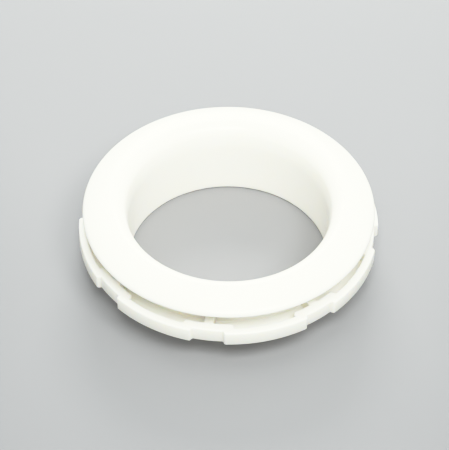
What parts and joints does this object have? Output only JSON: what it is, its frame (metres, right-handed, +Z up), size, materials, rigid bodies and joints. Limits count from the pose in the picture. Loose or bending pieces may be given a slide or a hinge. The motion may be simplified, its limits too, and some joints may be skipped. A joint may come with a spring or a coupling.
{
  "type": "desk grommet",
  "caption": "Round desk cable grommet: flanged bell-mouth collar with a threaded neck and a castellated lock ring that clamps the desk top.",
  "frame": {"origin": "centre of the neck's lower end, where the grommet stands on a surface", "axes": "+Z up the cable bore, towards the flange; +X and +Y across it"},
  "size_m": [0.1028, 0.1028, 0.0288],
  "materials": {
    "moulded_white": "satin-gloss injection-moulded white plastic",
    "moulded_white_ring": "satin injection-moulded white plastic"
  },
  "bodies": {
    "collar": {"collar": "moulded_white"},
    "lock_ring": {"lock_ring": "moulded_white_ring"}
  },
  "joints": [
    {"name": "ring_travel", "type": "slide", "parent": "collar", "child": "lock_ring", "axis": [0, 0, 1], "range_m": [-0.0125, 0.0062]}
  ]
}
